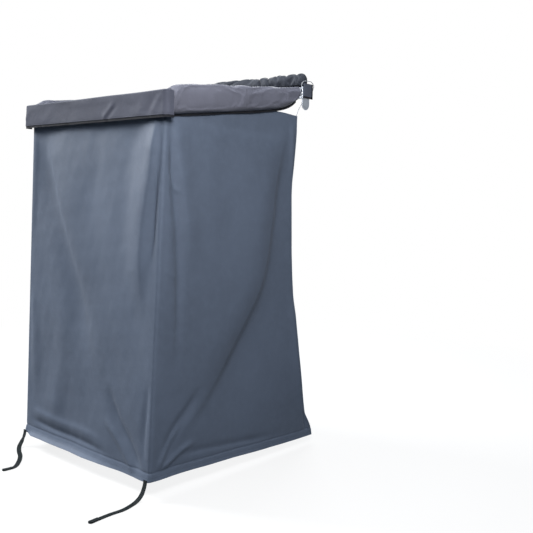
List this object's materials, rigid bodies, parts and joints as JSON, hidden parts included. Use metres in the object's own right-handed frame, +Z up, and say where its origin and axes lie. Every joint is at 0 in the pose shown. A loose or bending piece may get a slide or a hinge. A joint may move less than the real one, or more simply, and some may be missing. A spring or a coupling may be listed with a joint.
{
  "type": "vehicle shower tent",
  "caption": "Folding three-sided shower tent that hangs beside a vehicle from its roof rack: rail, knee-jointed arms, outer bar, cloth walls, padded sleeves and a rolled cover.",
  "frame": {"origin": "middle of the rail's back face, at the middle of its length and height", "axes": "+Z up, +X towards the front of the vehicle, +Y from the tent towards the vehicle"},
  "size_m": [1.2302, 1.6173, 2.1782],
  "materials": {
    "wall_cloth": "coated woven polyester, low sheen",
    "sleeve_cloth": "padded woven polyester, low sheen",
    "cover_cloth": "heavy coated cloth",
    "webbing": "woven webbing",
    "elastic_cord": "braided sheath",
    "anodised": "satin anodised",
    "castings": "tumbled die casting",
    "zinc_steel": "zinc plated",
    "black_plastic": "fine moulded grain"
  },
  "bodies": {
    "base": {"base_rail": "anodised", "cover_roll": "cover_cloth", "front_end_plate": "anodised", "front_rack_bracket": "zinc_steel", "front_upper_bracket_bolt": "zinc_steel", "front_lower_bracket_bolt": "zinc_steel", "front_root_fork": "castings", "front_root_pin": "zinc_steel", "front_end_flap": "cover_cloth", "front_tie": "elastic_cord", "front_roll_tie": "elastic_cord", "rear_end_plate": "anodised", "rear_rack_bracket": "zinc_steel", "rear_upper_bracket_bolt": "zinc_steel", "rear_lower_bracket_bolt": "zinc_steel", "rear_root_fork": "castings", "rear_root_pin": "zinc_steel", "rear_end_flap": "cover_cloth", "rear_tie": "elastic_cord", "rear_roll_tie": "elastic_cord"},
    "front_inner": {"front_inner_arm": "anodised", "front_root_tongue": "castings", "front_knee_fork": "castings", "front_knee_pin": "zinc_steel", "front_inner_wall": "wall_cloth", "front_inner_sleeve": "sleeve_cloth"},
    "front_knob": {"front_knee_knob": "black_plastic"},
    "front_outer": {"front_outer_arm": "anodised", "front_knee_tongue": "castings", "front_corner_tongue": "castings", "front_outer_wall": "wall_cloth", "front_outer_sleeve": "sleeve_cloth"},
    "rear_inner": {"rear_inner_arm": "anodised", "rear_root_tongue": "castings", "rear_knee_fork": "castings", "rear_knee_pin": "zinc_steel", "rear_inner_wall": "wall_cloth", "rear_inner_sleeve": "sleeve_cloth"},
    "rear_knob": {"rear_knee_knob": "black_plastic"},
    "rear_outer": {"rear_outer_arm": "anodised", "rear_knee_tongue": "castings", "rear_corner_tongue": "castings", "rear_outer_wall": "wall_cloth", "rear_outer_sleeve": "sleeve_cloth"},
    "bar": {"outer_bar": "anodised", "outer_wall": "wall_cloth", "valance": "sleeve_cloth", "front_corner_fork": "castings", "front_corner_pin": "zinc_steel", "front_bar_cap": "black_plastic", "front_peg_strap": "webbing", "rear_corner_fork": "castings", "rear_corner_pin": "zinc_steel", "rear_bar_cap": "black_plastic", "rear_peg_strap": "webbing"}
  },
  "joints": [
    {"name": "frame_fold", "type": "hinge", "parent": "base", "child": "front_inner", "pos_m": [0.585, -0.062, 0], "axis": [0, 0, -1], "range_deg": [0, 90], "deforming": ["front_tie"]},
    {"name": "front_knee", "type": "hinge", "parent": "front_inner", "child": "front_outer", "pos_m": [0.585, -0.524, -0.064], "axis": [0, 0, 1], "range_deg": [0, 180], "deforming": ["front_inner_sleeve", "front_outer_sleeve"]},
    {"name": "front_corner", "type": "hinge", "parent": "front_outer", "child": "bar", "pos_m": [0.585, -0.986, -0.128], "axis": [0, 0, -1], "range_deg": [0, 90]},
    {"name": "rear_root", "type": "hinge", "parent": "base", "child": "rear_inner", "pos_m": [-0.585, -0.062, 0], "axis": [0, 0, 1], "range_deg": [0, 90], "deforming": ["rear_tie"]},
    {"name": "rear_knee", "type": "hinge", "parent": "rear_inner", "child": "rear_outer", "pos_m": [-0.585, -0.524, -0.064], "axis": [0, 0, -1], "range_deg": [0, 180], "deforming": ["rear_inner_sleeve", "rear_outer_sleeve"]},
    {"name": "front_knob_turn", "type": "hinge", "parent": "front_inner", "child": "front_knob", "pos_m": [0.585, -0.524, -0.0843], "axis": [0, 0, 1], "range_deg": [0, 360]},
    {"name": "rear_knob_turn", "type": "hinge", "parent": "rear_inner", "child": "rear_knob", "pos_m": [-0.585, -0.524, -0.0843], "axis": [0, 0, 1], "range_deg": [0, 360]}
  ],
  "couplings": [
    {"joint": "front_knee", "follows": "frame_fold", "ratio": 2},
    {"joint": "front_corner", "follows": "frame_fold", "ratio": 1},
    {"joint": "rear_root", "follows": "frame_fold", "ratio": 1},
    {"joint": "rear_knee", "follows": "frame_fold", "ratio": 2}
  ]
}
